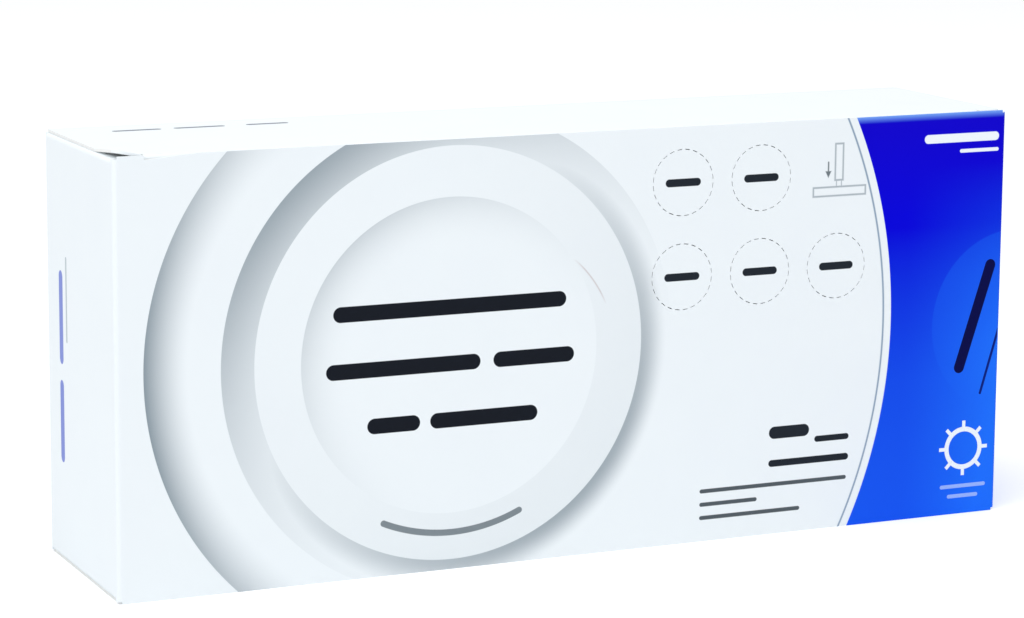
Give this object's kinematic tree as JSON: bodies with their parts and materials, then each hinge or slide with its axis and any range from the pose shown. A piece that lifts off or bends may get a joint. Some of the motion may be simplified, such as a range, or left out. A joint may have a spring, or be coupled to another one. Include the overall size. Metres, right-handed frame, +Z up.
{
  "type": "test kit carton",
  "caption": "Closed folding carton of a rapid test kit, with tuck lids, perforated push-out discs and its packed contents.",
  "frame": {"origin": "middle of the base on the surface that the carton stands on", "axes": "+Z up, +X along the long side to the right of the printed front, which faces -Y"},
  "size_m": [0.182, 0.041, 0.081],
  "materials": {
    "board": "white coated board, printed, satin",
    "paper": "thin uncoated leaflet paper",
    "foil": "satin silver foil laminate, crinkled",
    "peel_pack": "medical paper and film, crimped at its seals",
    "tube_plastic": "soft translucent polyethylene",
    "cap_plastic": "moulded white polypropylene"
  },
  "bodies": {
    "carton": {"carton_body": "board", "leaflet": "paper", "foil_pouch_1": "foil", "foil_pouch_2": "foil", "foil_pouch_3": "foil", "foil_pouch_4": "foil", "foil_pouch_5": "foil", "swab_pack_1": "peel_pack", "swab_pack_2": "peel_pack", "swab_pack_3": "peel_pack", "swab_pack_4": "peel_pack", "swab_pack_5": "peel_pack", "extraction_tube_1": "tube_plastic", "extraction_tube_2": "tube_plastic", "extraction_tube_3": "tube_plastic", "extraction_tube_4": "tube_plastic", "extraction_tube_5": "tube_plastic", "dropper_cap_1": "cap_plastic", "dropper_cap_2": "cap_plastic", "dropper_cap_3": "cap_plastic", "dropper_cap_4": "cap_plastic", "dropper_cap_5": "cap_plastic"},
    "top_lid": {"top_lid": "board"},
    "bottom_lid": {"bottom_lid": "board"}
  },
  "joints": [
    {"name": "top_lid_hinge", "type": "hinge", "parent": "carton", "child": "top_lid", "pos_m": [0, 0.02, 0.08], "axis": [-1, 0, 0], "range_deg": [0, 180]},
    {"name": "bottom_lid_hinge", "type": "hinge", "parent": "carton", "child": "bottom_lid", "pos_m": [0, 0.02, 0], "axis": [1, 0, 0], "range_deg": [0, 180]}
  ]
}
